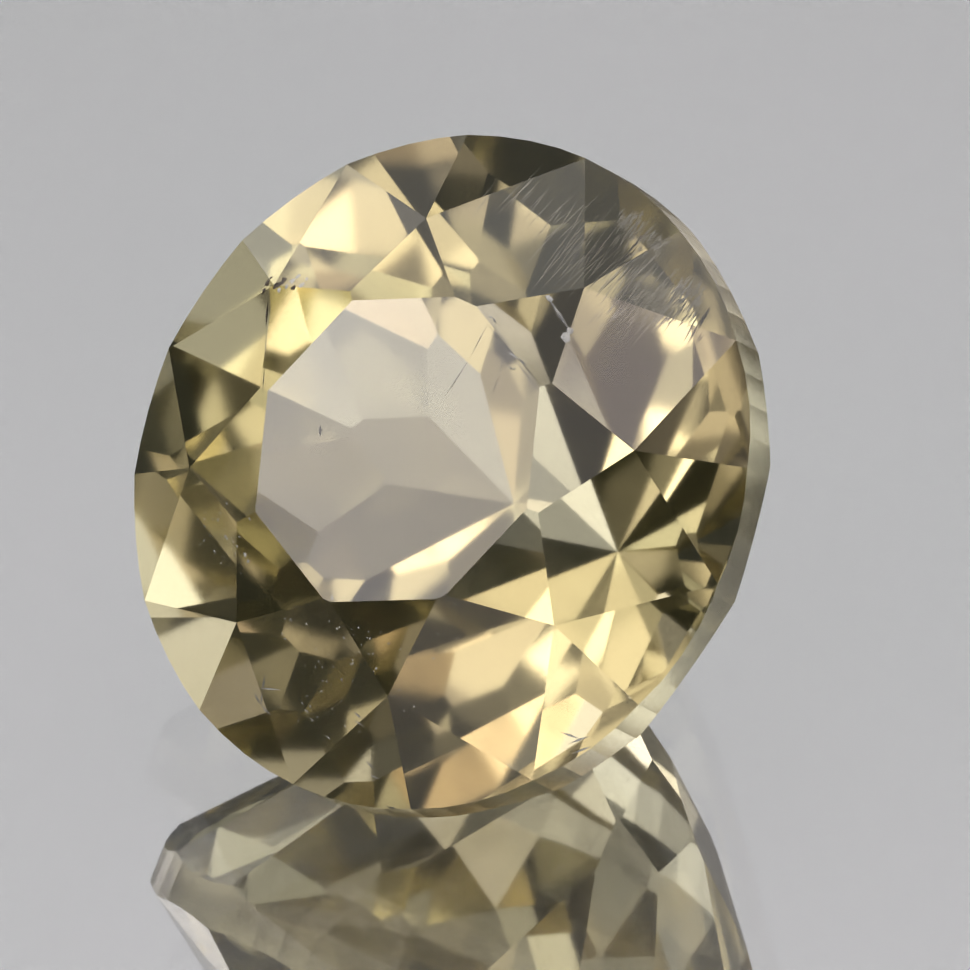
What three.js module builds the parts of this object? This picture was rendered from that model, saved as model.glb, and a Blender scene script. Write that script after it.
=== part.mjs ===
// A round faceted gemstone of 7 mm, lying on one facet of its pointed underside.
//
// The stone is cut in its own axes first: the flat top facet looks up the Z axis, the widest plane of the crown is
// at Z = 0, and the point below is near the axis. Facets are numbered round the stone from 1 to 8. Number 5 lies
// along +X and number 3 along +Y, so the numbers run clockwise as seen from above. Odd steps of 22.5 degrees lie
// between them. The finished stone is then leaned over onto facet 7 and turned to its heading.
import * as THREE from "three";

// Outline, in millimetres
const GIRDLE_DIAMETER = 7.0;
const OUT_OF_ROUND = 0.012; // share of the radius added along the long axis and taken off across it
const LONG_AXIS_DEG = 98;
const GIRDLE_SIDES = 64;

// Crown: one table, eight stars, eight kites and sixteen upper girdle facets. The stone is cut by hand, so the facets
// of a tier differ a little. The lists go from facet 1 to facet 8, in degrees and millimetres.
const CROWN_HEIGHT = 1.04;
const KITE_ANGLES = [30.5, 30.5, 29, 30.5, 30.5, 29.5, 29.5, 31.5];
const GIRDLE_TIP_TURNS = [0, 0, 0, 0, 2, 0, 0, 0]; // the kite's tip on the girdle is this far aside
const TABLE_REACH = 1.816; // from the girdle in to the corners of the table
const STAR_TIP_RADIUS = 2.5;

// Pavilion: eight long mains round the point, eight lozenges between them and sixteen lower girdle facets
const POINT_DEPTH = 3.92;
const POINT_OFFSET = [0.1, 0.05];
const MAIN_ANGLES = [35.5, 36, 41, 36, 34, 36.5, 42, 38];
const MAIN_TURNS = [-1.5, 0, 0, 0, 1, 4, 0, 2];
const LOZENGE_ANGLES = [44.5, 44.5, 43.5, 46, 43, 48, 45, 45.5];
const LOZENGE_RADII = [1.2, 1.02, 1.12, 1.04, 1.06, 1.02, 1.08, 1.2]; // where it meets the mains beside it
const LOWER_GIRDLE_ANGLES = [48, 47.5, 51, 53, 54, 51.5, 50, 50];
const LOWER_GIRDLE_TURN = 11;

// The even cut that the lower girdle facets start from
const EVEN_MAIN_ANGLE = 36;
const EVEN_LOZENGE_ANGLE = 45;
const EVEN_LOZENGE_RADIUS = 1.08;

// How the stone lies
const LEAN = MAIN_ANGLES[6];
const HEADING = -37.3;

const WELD = 0.002; // corners closer than this are one corner

const RAD = Math.PI / 180;
const numbers = [1, 2, 3, 4, 5, 6, 7, 8];

// Direction of a number round the stone, in degrees from +X. Half numbers lie between two mains.
function bearing(number) {
  return 45 * (5 - number);
}

function girdleRadius(deg) {
  const swell = OUT_OF_ROUND * Math.cos(2 * (deg - LONG_AXIS_DEG) * RAD);
  return (GIRDLE_DIAMETER / 2) * (1 + swell);
}

function polar(deg, radius, z) {
  return new THREE.Vector3(radius * Math.cos(deg * RAD), radius * Math.sin(deg * RAD), z);
}

// Facet normal that leans away from the axis by an angle: up for the crown, down for the pavilion.
function facetNormal(deg, angle, up) {
  const n = polar(deg, Math.sin(angle * RAD), Math.cos(angle * RAD));
  if (!up) n.z = -n.z;
  return n;
}

function planeAt(normal, point) {
  return new THREE.Plane().setFromNormalAndCoplanarPoint(normal, point);
}

// Plane through three corners, facing away from the middle of the stone.
function planeThrough(a, b, c) {
  const plane = new THREE.Plane().setFromCoplanarPoints(a, b, c);
  if (plane.constant > 0) plane.negate();
  return plane;
}

// Point where three planes meet.
function corner(p, q, r) {
  const qr = new THREE.Vector3().crossVectors(q.normal, r.normal);
  const rp = new THREE.Vector3().crossVectors(r.normal, p.normal);
  const pq = new THREE.Vector3().crossVectors(p.normal, q.normal);
  const point = qr.clone().multiplyScalar(-p.constant);
  point.addScaledVector(rp, -q.constant);
  point.addScaledVector(pq, -r.constant);
  return point.divideScalar(p.normal.dot(qr));
}

function crownPlanes() {
  const planes = [planeAt(new THREE.Vector3(0, 0, 1), new THREE.Vector3(0, 0, CROWN_HEIGHT))];
  const kites = new Map();
  const girdleTips = new Map();
  const tableCorners = new Map();
  for (const n of numbers) {
    const deg = bearing(n);
    const tipDeg = deg + GIRDLE_TIP_TURNS[n - 1];
    girdleTips.set(n, polar(tipDeg, girdleRadius(tipDeg), 0));
    kites.set(n, planeAt(facetNormal(deg, KITE_ANGLES[n - 1], true), girdleTips.get(n)));
    tableCorners.set(n, polar(deg, girdleRadius(deg) - TABLE_REACH, CROWN_HEIGHT));
  }
  for (const n of numbers) {
    const next = (n % 8) + 1;
    const deg = bearing(n + 0.5);
    const upright = new THREE.Plane(polar(deg, 1, 0), -STAR_TIP_RADIUS);
    const starTip = corner(kites.get(n), kites.get(next), upright);
    const girdleMiddle = polar(deg, girdleRadius(deg), 0);
    planes.push(kites.get(n));
    planes.push(planeThrough(tableCorners.get(n), tableCorners.get(next), starTip));
    planes.push(planeThrough(starTip, girdleMiddle, girdleTips.get(n)));
    planes.push(planeThrough(starTip, girdleMiddle, girdleTips.get(next)));
  }
  return planes;
}

function girdlePlanes() {
  const planes = [];
  const step = 360 / GIRDLE_SIDES;
  for (let i = 0; i < GIRDLE_SIDES; i += 1) {
    const from = polar(i * step, girdleRadius(i * step), 0);
    const to = polar((i + 1) * step, girdleRadius((i + 1) * step), 0);
    planes.push(planeThrough(from, to, new THREE.Vector3(to.x, to.y, -1)));
  }
  return planes;
}

// A lozenge facet, which lies between the main of its number and the next one.
function lozengePlane(number, angle, radius, point) {
  const deg = bearing(number + 0.5);
  // Height of even mains over the point, per millimetre out along an edge between two of them
  const edgeRise = Math.tan(EVEN_MAIN_ANGLE * RAD) * Math.cos(22.5 * RAD);
  return planeAt(facetNormal(deg, angle, false), polar(deg, radius, radius * edgeRise).add(point));
}

function pavilionPlanes() {
  const planes = [];
  const point = new THREE.Vector3(POINT_OFFSET[0], POINT_OFFSET[1], -POINT_DEPTH);
  const evenMains = new Map();
  const evenLozenges = new Map();
  for (const n of numbers) {
    evenMains.set(n, planeAt(facetNormal(bearing(n), EVEN_MAIN_ANGLE, false), point));
    evenLozenges.set(n, lozengePlane(n, EVEN_LOZENGE_ANGLE, EVEN_LOZENGE_RADIUS, point));
  }
  for (const n of numbers) {
    const before = n === 1 ? 8 : n - 1;
    const tip = corner(evenMains.get(n), evenLozenges.get(before), evenLozenges.get(n));
    for (const turn of [-LOWER_GIRDLE_TURN, LOWER_GIRDLE_TURN]) {
      planes.push(planeAt(facetNormal(bearing(n) + turn, LOWER_GIRDLE_ANGLES[n - 1], false), tip));
    }
    planes.push(lozengePlane(n, LOZENGE_ANGLES[n - 1], LOZENGE_RADII[n - 1], point));
    const mainBearing = bearing(n) + MAIN_TURNS[n - 1];
    planes.push(planeAt(facetNormal(mainBearing, MAIN_ANGLES[n - 1], false), point));
  }
  return planes;
}

// The part of a big square on the plane that no other plane cuts off.
function facetOutline(plane, all) {
  const n = plane.normal;
  const aside = Math.abs(n.z) < 0.9 ? new THREE.Vector3(0, 0, 1) : new THREE.Vector3(1, 0, 0);
  const u = new THREE.Vector3().crossVectors(aside, n).normalize();
  const v = new THREE.Vector3().crossVectors(n, u);
  const middle = n.clone().multiplyScalar(-plane.constant);
  let outline = [];
  for (const [a, b] of [[-1, -1], [1, -1], [1, 1], [-1, 1]]) {
    outline.push(middle.clone().addScaledVector(u, 50 * a).addScaledVector(v, 50 * b));
  }
  for (const cut of all) {
    if (cut === plane) continue;
    const kept = [];
    outline.forEach((p, i) => {
      const q = outline[(i + 1) % outline.length];
      const dp = cut.distanceToPoint(p);
      const dq = cut.distanceToPoint(q);
      if (dp <= 0) kept.push(p);
      if (dp < 0 !== dq < 0 && dp !== dq) kept.push(p.clone().lerp(q, dp / (dp - dq)));
    });
    outline = kept;
    if (outline.length < 3) return [];
  }
  return outline;
}

// One closed body from its facet planes, each facet a fan of triangles.
function solidFromPlanes(planes) {
  const corners = [];
  function cornerIndex(p) {
    const found = corners.findIndex((c) => c.distanceTo(p) < WELD);
    return found < 0 ? corners.push(p) - 1 : found;
  }
  const triangles = [];
  for (const plane of planes) {
    const loop = facetOutline(plane, planes).map(cornerIndex);
    const clean = loop.filter((c, i) => c !== loop[(i + 1) % loop.length]);
    for (let i = 1; i + 1 < clean.length; i += 1) {
      triangles.push(clean[0], clean[i], clean[i + 1]);
    }
  }
  const geometry = new THREE.BufferGeometry();
  geometry.setAttribute("position", new THREE.Float32BufferAttribute(corners.flatMap((c) => c.toArray()), 3));
  geometry.setIndex(triangles);
  return geometry;
}

const geometry = solidFromPlanes([...crownPlanes(), ...girdlePlanes(), ...pavilionPlanes()]);

// Lean onto facet 7, turn to the heading, and put the origin under the middle of the stone.
geometry.rotateX(LEAN * RAD);
geometry.rotateZ(HEADING * RAD);
geometry.computeBoundingBox();
const box = geometry.boundingBox;
const centre = box.getCenter(new THREE.Vector3());
geometry.translate(-centre.x, -centre.y, -box.min.z);
const flat = geometry.toNonIndexed();
flat.computeVertexNormals();

const material = new THREE.MeshStandardMaterial({
  color: 0xd8d2a8,
  roughness: 0.03,
  metalness: 0,
  transparent: true,
  opacity: 0.45,
  flatShading: true,
});
const stone = new THREE.Mesh(flat, material);
stone.name = "faceted_gem";

const group = new THREE.Group();
group.name = "diaspore_gem";
group.add(stone);
export default group;
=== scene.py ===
import math
import random

import bpy
from mathutils import Matrix, Vector
from mathutils.bvhtree import BVHTree


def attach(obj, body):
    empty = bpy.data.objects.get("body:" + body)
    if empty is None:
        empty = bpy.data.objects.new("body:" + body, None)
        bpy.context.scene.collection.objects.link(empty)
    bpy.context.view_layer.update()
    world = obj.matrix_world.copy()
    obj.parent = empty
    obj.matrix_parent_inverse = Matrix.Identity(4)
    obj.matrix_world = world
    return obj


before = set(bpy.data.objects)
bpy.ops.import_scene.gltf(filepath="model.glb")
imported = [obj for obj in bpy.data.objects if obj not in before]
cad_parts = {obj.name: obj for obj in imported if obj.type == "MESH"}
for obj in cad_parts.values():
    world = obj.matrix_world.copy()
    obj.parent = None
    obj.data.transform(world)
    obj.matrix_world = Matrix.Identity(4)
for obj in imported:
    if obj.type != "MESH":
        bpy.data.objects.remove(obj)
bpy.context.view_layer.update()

MM = 0.001
scene = bpy.context.scene

# The stone in the frame: it leans over onto a facet and is turned to its heading.
LEAN = math.radians(42)
HEADING = math.radians(-37.3)
STONE_AXES = (Matrix.Rotation(HEADING, 4, "Z") @ Matrix.Rotation(LEAN, 4, "X")).to_3x3()
STONE_UP = STONE_AXES.col[2].copy()
CROWN_CENTRE = Vector((-0.115, -0.196, 2.880)) * MM
STONE_IOR = 1.72

# The photograph: its side in pixels, and the pixel that shows the middle of the crown
PHOTO_SIDE = 970
PHOTO_MIDDLE = PHOTO_SIDE / 2
CROWN_U = 439.2
CROWN_V = 471.0

# Camera
ELEVATION = math.radians(40.1)
ROLL = math.radians(-1.75)
DISTANCE = 260 * MM
FRAME_WIDTH = 9.94 * MM
SENSOR_WIDTH = 36
PIXEL = FRAME_WIDTH / PHOTO_SIDE


def camera_axes():
    """The camera's right, up and back directions."""
    back = Vector((0, -math.cos(ELEVATION), math.sin(ELEVATION)))
    right = Vector((1, 0, 0))
    up = back.cross(right)
    turn = Matrix.Rotation(ROLL, 3, back)
    return turn @ right, turn @ up, back


RIGHT, UP, BACK = camera_axes()
AIM = CROWN_CENTRE + RIGHT * (PHOTO_MIDDLE - CROWN_U) * PIXEL + UP * (CROWN_V - PHOTO_MIDDLE) * PIXEL
EYE = AIM + BACK * DISTANCE


def add_camera():
    """The camera at the photograph's viewing angle."""
    data = bpy.data.cameras.new("camera")
    camera = bpy.data.objects.new("camera", data)
    scene.collection.objects.link(camera)
    data.sensor_width = SENSOR_WIDTH
    data.lens = SENSOR_WIDTH * DISTANCE / FRAME_WIDTH
    data.clip_start = 0.01
    data.clip_end = 5
    camera.matrix_world = Matrix.Translation(EYE) @ Matrix((RIGHT, UP, BACK)).transposed().to_4x4()
    scene.camera = camera


def noise(tree, scale):
    """Noise in object space, in features per metre."""
    place = tree.nodes.new("ShaderNodeTexCoord")
    texture = tree.nodes.new("ShaderNodeTexNoise")
    texture.inputs["Scale"].default_value = scale
    texture.inputs["Detail"].default_value = 2
    tree.links.new(place.outputs["Object"], texture.inputs["Vector"])
    return texture.outputs["Fac"]


def ramp(tree, value, stops):
    """A colour ramp over a value."""
    node = tree.nodes.new("ShaderNodeValToRGB")
    for element, (at, colour) in zip(node.color_ramp.elements, stops):
        element.position = at
        element.color = (*colour, 1)
    tree.links.new(value, node.inputs["Fac"])
    return node.outputs["Color"]


def remap(tree, value, from_min, from_max, to_min, to_max):
    """A value moved from one range into another."""
    node = tree.nodes.new("ShaderNodeMapRange")
    node.inputs["From Min"].default_value = from_min
    node.inputs["From Max"].default_value = from_max
    node.inputs["To Min"].default_value = to_min
    node.inputs["To Max"].default_value = to_max
    tree.links.new(value, node.inputs["Value"])
    return node.outputs["Result"]


def mottled(name, scale, reach, first, second, numbers):
    """A material whose colour wanders between two tones, with plain numbers on its other sockets."""
    material = bpy.data.materials.new(name)
    material.use_nodes = True
    tree = material.node_tree
    tree.nodes.clear()
    output = tree.nodes.new("ShaderNodeOutputMaterial")
    shader = tree.nodes.new("ShaderNodeBsdfPrincipled")
    tree.links.new(shader.outputs["BSDF"], output.inputs["Surface"])
    for socket, number in numbers.items():
        shader.inputs[socket].default_value = number
    colour = ramp(tree, noise(tree, scale), [(0.5 - reach, first), (0.5 + reach, second)])
    tree.links.new(colour, shader.inputs["Base Color"])
    return material, tree, shader


def stone_material():
    """Clear, with a greenish yellow body colour from absorption, polished facets and a ground girdle."""
    clear = {"IOR": STONE_IOR, "Transmission Weight": 1}
    material, tree, shader = mottled("diaspore", 900, 0.2, (0.985, 0.985, 0.975), (1, 1, 1), clear)

    # The girdle's facets are the ones that face square to the stone's axis.
    place = tree.nodes.new("ShaderNodeTexCoord")
    slope = tree.nodes.new("ShaderNodeVectorMath")
    slope.operation = "DOT_PRODUCT"
    slope.inputs[1].default_value = STONE_UP
    tree.links.new(place.outputs["Normal"], slope.inputs[0])
    steep = tree.nodes.new("ShaderNodeMath")
    steep.operation = "ABSOLUTE"
    tree.links.new(slope.outputs["Value"], steep.inputs[0])
    ground = remap(tree, steep.outputs["Value"], 0.05, 0.1, 0.25, 0.07)
    grain = remap(tree, noise(tree, 25000), 0.3, 0.7, 0.85, 1.15)
    rough = tree.nodes.new("ShaderNodeMath")
    rough.operation = "MULTIPLY"
    tree.links.new(ground, rough.inputs[0])
    tree.links.new(grain, rough.inputs[1])
    tree.links.new(rough.outputs["Value"], shader.inputs["Roughness"])

    absorption = tree.nodes.new("ShaderNodeVolumeAbsorption")
    absorption.inputs["Color"].default_value = (0.85, 0.80, 0.57, 1)
    absorption.inputs["Density"].default_value = 250
    tree.links.new(absorption.outputs["Volume"], tree.nodes["Material Output"].inputs["Volume"])
    return material


def pale_needle_material():
    """Opaque, pale beige."""
    numbers = {"Roughness": 0.4}
    return mottled("pale needles", 4000, 0.15, (0.66, 0.61, 0.52), (0.97, 0.94, 0.86), numbers)[0]


def white_needle_material():
    """Silky and slightly see-through, for the feather."""
    numbers = {"Roughness": 0.35, "Transmission Weight": 0.2}
    return mottled("white needles", 5000, 0.15, (0.86, 0.82, 0.72), (1, 0.99, 0.94), numbers)[0]


def dark_needle_and_shade_material():
    """Dark brown, for the needles, and as painted shade in the pits and along the crack."""
    numbers = {"Roughness": 0.4}
    return mottled("dark needles and painted shade", 4000, 0.15, (0.05, 0.04, 0.03), (0.16, 0.13, 0.10), numbers)[0]


def chipped_material():
    """Crushed stone, whitish."""
    numbers = {"Roughness": 0.45, "Transmission Weight": 0.3, "IOR": STONE_IOR}
    return mottled("chipped", 9000, 0.15, (0.70, 0.72, 0.74), (0.98, 0.98, 0.96), numbers)[0]


def sheet_material():
    """The floor's clear top layer."""
    numbers = {"Roughness": 0, "IOR": 1.5, "Transmission Weight": 1}
    return mottled("clear sheet", 60, 0.2, (0.98, 0.99, 0.985), (1, 1, 1), numbers)[0]


def floor_material():
    """The floor's pale polished backing."""
    numbers = {"Metallic": 0.8, "Roughness": 0.03}
    return mottled("pale floor", 60, 0.2, (0.86, 0.86, 0.87), (0.88, 0.88, 0.89), numbers)[0]


add_camera()
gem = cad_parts["faceted_gem"]
gem.data.materials.clear()
gem.data.materials.append(stone_material())

# Marks on the stone and in it are placed by photograph pixel, along the line of sight. Inside the stone,
# they lie along its refraction.
corners = [gem.matrix_world @ vertex.co for vertex in gem.data.vertices]
stone_surface = BVHTree.FromPolygons(corners, [polygon.vertices for polygon in gem.data.polygons])


def spot(u, v, depth):
    """The place at a depth in millimetres under what pixel (u, v) shows, and the surface's facing there.

    A depth below zero is over the surface.
    """
    target = AIM + RIGHT * (u - PHOTO_MIDDLE) * PIXEL - UP * (v - PHOTO_MIDDLE) * PIXEL
    sight = (target - EYE).normalized()
    point, facing, _, _ = stone_surface.ray_cast(EYE, sight)
    if point is None:
        raise ValueError(f"pixel {u}, {v} is beside the stone")
    if depth > 0:
        bend = 1 / STONE_IOR
        cosine = -facing.dot(sight)
        sight = bend * sight + (bend * cosine - math.sqrt(1 - bend**2 * (1 - cosine**2))) * facing
        return point + sight * depth * MM, facing
    return point - facing * depth * MM, facing


def mesh_piece(name, vertices, faces, material):
    """A mesh that rides on the stone."""
    mesh = bpy.data.meshes.new(name)
    mesh.from_pydata(vertices, [], faces)
    mesh.materials.append(material)
    piece = bpy.data.objects.new(name, mesh)
    scene.collection.objects.link(piece)
    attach(piece, "root")


def spindles(name, ends, radius, material):
    """Thin rods, thickest in the middle and pointed at both ends. The radius is in millimetres."""
    sides = 3
    vertices = []
    faces = []
    for start, end in ends:
        along = (end - start).normalized()
        side = along.orthogonal().normalized()
        over = along.cross(side)
        first = len(vertices)
        vertices.append(start)
        for k in range(sides):
            angle = math.radians(360 / sides * k)
            out = side * math.cos(angle) + over * math.sin(angle)
            vertices.append((start + end) / 2 + out * radius * MM)
        vertices.append(end)
        for k in range(sides):
            here = first + 1 + k
            following = first + 1 + (k + 1) % sides
            faces.append((first, following, here))
            faces.append((first + sides + 1, here, following))
    mesh_piece(name, vertices, faces, material)


def cluster(centre, spread, count, angle, length, depth):
    """Ends of many near parallel rods round a pixel. Lengths are in pixels and depths in millimetres."""
    ends = []
    for _ in range(count):
        u = centre[0] + spread[0] * generator.triangular(-1, 1)
        v = centre[1] + spread[1] * generator.triangular(-1, 1)
        tilt = math.radians(generator.gauss(angle, 4))
        half = generator.uniform(*length) / 2
        below = generator.uniform(*depth)
        du = half * math.cos(tilt)
        dv = half * math.sin(tilt)
        start = spot(u - du, v + dv, below)[0]
        end = spot(u + du, v - dv, below + generator.uniform(-0.05, 0.05))[0]
        # A rod whose ends show through two facets comes out far too long and is left out.
        if (end - start).length < 4 * half * PIXEL:
            ends.append((start, end))
    return ends


def bundles(rows):
    """Ends of the rods of several clusters."""
    return [pair for row in rows for pair in cluster(*row)]


def surface_line(points):
    """Ends of rods along a line of pixels, just over the surface."""
    places = [spot(u, v, -0.001)[0] for u, v in points]
    return list(zip(places, places[1:]))


def surface_lines(lines):
    """Ends of the rods of several lines."""
    return [pair for line in lines for pair in surface_line(line)]


def flakes(name, spots, material):
    """Small ragged chips that lie on the surface: pixel and size in pixels."""
    points = 7
    vertices = []
    faces = []
    for u, v, size in spots:
        middle, facing = spot(u, v, -0.002)
        side = facing.orthogonal().normalized()
        over = facing.cross(side)
        first = len(vertices)
        vertices.append(middle + facing * 0.003 * MM)
        start = generator.uniform(0, 6.28)
        for k in range(points):
            reach = size / 2 * generator.uniform(0.5, 1.3) * PIXEL
            angle = start + k * 6.283 / points
            vertices.append(middle + (side * math.cos(angle) + over * math.sin(angle)) * reach)
        for k in range(points):
            faces.append((first, first + 1 + k, first + 1 + (k + 1) % points))
    mesh_piece(name, vertices, faces, material)


def scattered(centre, spread, count, sizes):
    """Pixels and sizes of many small chips round a pixel."""
    spots = []
    for _ in range(count):
        u = centre[0] + spread[0] * generator.triangular(-1, 1)
        v = centre[1] + spread[1] * generator.triangular(-1, 1)
        spots.append((u, v, generator.uniform(*sizes)))
    return spots


# Inside the stone: fine parallel needles under the upper right of the crown.
# Middle pixel, half-widths, count, angle in degrees, lengths in pixels, depths in millimetres
PALE_NEEDLES = [
    ((575, 240), (38, 44), 30, 50, (24, 80), (0.3, 0.9)),
    ((636, 240), (26, 24), 60, 55, (8, 24), (0.3, 0.8)),
    ((640, 300), (48, 50), 150, 52, (12, 44), (0.3, 0.9)),
    ((680, 300), (26, 26), 110, 56, (8, 26), (0.3, 0.7)),
    ((520, 200), (40, 26), 14, 48, (20, 60), (0.3, 0.9)),
]
FEATHER = [
    ((630, 222), (16, 12), 34, 52, (8, 18), (0.25, 0.5)),
    ((655, 240), (12, 10), 22, 50, (8, 16), (0.25, 0.5)),
    ((688, 292), (20, 22), 46, 56, (8, 22), (0.25, 0.5)),
]
DARK_NEEDLES = [
    ((695, 325), (16, 26), 16, 58, (14, 34), (0.25, 0.5)),
    ((600, 250), (44, 44), 26, 50, (20, 50), (0.3, 0.9)),
]
PINPOINT = [(320, 424), (320, 437)]
PINPOINT_DEPTH = 0.3

# On the stone: lines of pixels
SCRATCHES = [
    [(265, 675), (262, 692), (261, 705)],
    [(257, 688), (281, 690)],
    [(254, 692), (261, 705), (271, 715)],
    [(301, 702), (304, 705)],
    [(304, 709), (309, 713)],
    [(354, 712), (362, 719)],
    [(354, 720), (365, 727)],
    [(325, 735), (331, 740)],
    [(366, 761), (375, 770)],
    [(370, 775), (379, 779)],
    [(385, 806), (402, 810)],
    [(560, 732), (580, 739)],
    [(568, 744), (590, 736)],
    [(572, 754), (592, 746)],
    [(488, 317), (493, 318), (496, 323)],
    [(507, 352), (518, 358), (527, 366)],
    [(509, 366), (513, 370), (516, 368)],
]
FINE_SCRATCHES = [
    [(486, 322), (512, 356), (540, 392)],
    [(490, 321), (516, 355), (543, 389)],
    [(488, 323), (470, 358), (444, 398)],
    [(504, 354), (499, 376), (491, 397)],
    [(267, 327), (265, 360), (263, 396)],
]
CHIPPED_EDGE = [(547, 296), (572, 334)]
# A dark rod along the crack, as painted shade in the fissure
PAINTED_CRACK_SHADE = [(268, 300), (266, 328)]

# On the stone: pixel and size in pixels
CRUMBS = [
    (549, 299, 8),
    (566, 338, 13),
    (570, 330, 7),
    (292, 281, 8),
    (298, 277, 7),
    (302, 285, 7),
    (287, 287, 6),
    (279, 290, 6),
    (307, 279, 5),
    (332, 598, 5),
    (245, 555, 5),
    (248, 561, 4),
]
# Dark flakes over small pits, as painted shade: pixel and size in pixels
PAINTED_PIT_SHADE = [
    (268, 283, 10),
    (275, 287, 9),
    (284, 280, 8),
    (264, 291, 7),
    (293, 288, 6),
    (280, 284, 8),
    (271, 278, 6),
]

generator = random.Random(5)
pale = pale_needle_material()
white = white_needle_material()
dark = dark_needle_and_shade_material()
chipped = chipped_material()
spindles("needles_pale", bundles(PALE_NEEDLES), 0.006, pale)
spindles("feather", bundles(FEATHER), 0.011, white)
spindles("needles_dark", bundles(DARK_NEEDLES), 0.007, dark)
spindles("scratches", surface_lines(SCRATCHES), 0.014, chipped)
spindles("fine_scratches", surface_lines(FINE_SCRATCHES), 0.006, chipped)
spindles("chipped_edge", surface_line(CHIPPED_EDGE), 0.03, chipped)
flakes("crumbs", CRUMBS, chipped)
# Painted shade: dark flakes where the pits are.
flakes("pits", PAINTED_PIT_SHADE, dark)
specks = scattered((340, 665), (120, 85), 70, (1.4, 3.0))
specks += scattered((220, 540), (30, 50), 24, (1.4, 3.4))
flakes("specks", specks, chipped)
# Painted shade: a dark rod along the crack.
spindles("crack", surface_line(PAINTED_CRACK_SHADE), 0.02, dark)
pinpoint_ends = [spot(u, v, PINPOINT_DEPTH)[0] for u, v in PINPOINT]
spindles("pinpoint", [pinpoint_ends], 0.022, dark)

# Floor: a clear sheet over a pale polished backing, just under the stone
FLOOR_SIDE = 0.6
SHEET_TOP = -0.02 * MM
SHEET_THICKNESS = 1.5 * MM
SHEET_GAP = 0.01 * MM


def add_floor():
    """The pale floor, which isn't part of the stone."""
    bpy.ops.mesh.primitive_cube_add(size=1, location=(0, 0, SHEET_TOP - SHEET_THICKNESS / 2))
    sheet = bpy.context.object
    sheet.name = "floor_sheet"
    sheet.dimensions = (FLOOR_SIDE, FLOOR_SIDE, SHEET_THICKNESS)
    bpy.ops.object.transform_apply(location=False, rotation=False, scale=True)
    sheet.data.materials.append(sheet_material())

    backing = SHEET_TOP - SHEET_THICKNESS - SHEET_GAP
    bpy.ops.mesh.primitive_plane_add(size=FLOOR_SIDE, location=(0, 0, backing))
    floor = bpy.context.object
    floor.name = "floor"
    floor.data.materials.append(floor_material())


add_floor()

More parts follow.
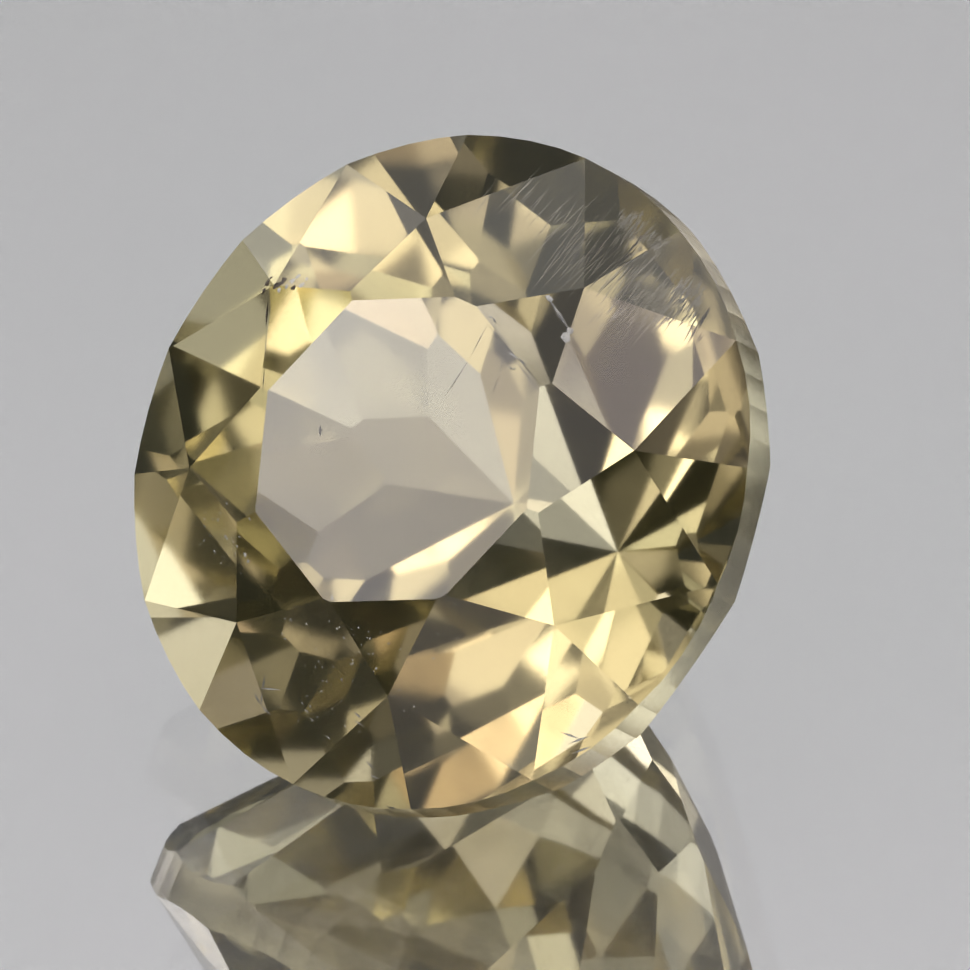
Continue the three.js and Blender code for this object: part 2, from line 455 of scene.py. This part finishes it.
# Soft studio light: round lamps about the stone, with a soft edge. Angles are in degrees, and the bearing
# runs from the far side through the right.
LAMPS = [
    # name, bearing, height, radius, edge, colour
    ("overhead", 0, 90, 14, 5, (1.18, 1.10, 1.10)),
    ("left high", 270, 60, 10, 4, (2.12, 2.12, 2.18)),
    ("left", 285, 35, 12, 4, (1.38, 1.38, 1.40)),
    ("back left high", 335, 58, 11, 4, (1.54, 1.50, 1.46)),
    ("back left", 320, 35, 14, 5, (2.42, 2.29, 2.19)),
    ("back left low", 333, 11, 9, 4, (1.38, 1.38, 1.38)),
    ("back low", 350, 8, 12, 4, (0.50, 0.49, 0.47)),
    ("back", 0, 49, 12, 6, (0.71, 0.70, 0.71)),
    ("back right high", 55, 71, 9, 4, (1.62, 1.58, 1.58)),
    ("back high", 18, 66, 10, 4, (0.52, 0.50, 0.48)),
    ("back right", 42, 38, 13, 5, (0.50, 0.46, 0.41)),
    ("back right middle", 22, 27, 8, 4, (1.60, 1.50, 1.40)),
    ("back right low", 40, 8, 14, 5, (0.30, 0.27, 0.23)),
    ("right high", 108, 68, 12, 4, (0.92, 0.74, 0.62)),
    ("right top", 120, 74, 7, 3, (1.30, 1.17, 1.20)),
    ("right", 80, 42, 14, 5, (1.20, 1.16, 1.12)),
    ("right strip", 108, 28, 9, 3, (1.92, 1.90, 1.90)),
    ("right low", 75, 8, 16, 5, (0.96, 0.96, 0.92)),
    ("front low", 150, 6, 11, 4, (0.55, 0.55, 0.58)),
    ("front bottom", 180, 6, 10, 4, (0.72, 0.68, 0.68)),
    ("front high", 193, 63, 10, 4, (0.72, 0.66, 0.70)),
    ("front middle", 195, 46, 8, 4, (1.10, 1.04, 1.04)),
    ("front left low", 212, 6, 10, 4, (0.96, 0.88, 0.88)),
    ("front left high", 225, 66, 11, 4, (1.32, 1.26, 1.26)),
    ("front left", 230, 35, 10, 4, (0.46, 0.44, 0.45)),
    ("left front", 240, 26, 6, 3, (1.25, 1.22, 1.22)),
    ("left dim", 275, 18, 8, 4, (0.55, 0.55, 0.56)),
    ("left low", 245, 12, 12, 5, (0.26, 0.25, 0.23)),
    ("mirrored in the table", 256, 39, 6, 2, (3.00, 2.86, 2.96)),
]
BASE_LIGHT = (0.030, 0.034, 0.030)


def lamp_share(tree, direction, radius, edge):
    """How much of a lamp shows in a direction of the surroundings, from 0 to 1."""
    place = tree.nodes.new("ShaderNodeTexCoord")
    dot = tree.nodes.new("ShaderNodeVectorMath")
    dot.operation = "DOT_PRODUCT"
    dot.inputs[1].default_value = direction
    tree.links.new(place.outputs["Generated"], dot.inputs[0])
    outside = math.cos(math.radians(radius + edge))
    inside = math.cos(math.radians(radius - edge))
    share = remap(tree, dot.outputs["Value"], outside, inside, 0, 1)
    share.node.interpolation_type = "SMOOTHSTEP"
    return share


def add_light():
    """The lamps and a dim even light, as the surroundings."""
    world = bpy.data.worlds.new("studio")
    scene.world = world
    world.use_nodes = True
    tree = world.node_tree
    tree.nodes.clear()
    output = tree.nodes.new("ShaderNodeOutputWorld")
    background = tree.nodes.new("ShaderNodeBackground")
    tree.links.new(background.outputs["Background"], output.inputs["Surface"])
    total = None
    for name, bearing, height, radius, edge, colour in LAMPS:
        bearing = math.radians(bearing)
        height = math.radians(height)
        flat = math.cos(height)
        direction = (math.sin(bearing) * flat, math.cos(bearing) * flat, math.sin(height))
        add = tree.nodes.new("ShaderNodeVectorMath")
        add.operation = "MULTIPLY_ADD"
        add.label = name
        add.inputs[0].default_value = colour
        tree.links.new(lamp_share(tree, direction, radius, edge), add.inputs[1])
        if total is None:
            add.inputs[2].default_value = BASE_LIGHT
        else:
            tree.links.new(total, add.inputs[2])
        total = add.outputs["Vector"]
    tree.links.new(total, background.inputs["Color"])
    world.cycles.sampling_method = "NONE"


add_light()

scene.view_settings.view_transform = "Standard"
scene.view_settings.gamma = 0.83
scene.cycles.denoising_input_passes = "RGB"
scene.cycles.max_bounces = 16
scene.cycles.transmission_bounces = 16
scene.cycles.glossy_bounces = 8
scene.cycles.transparent_max_bounces = 16
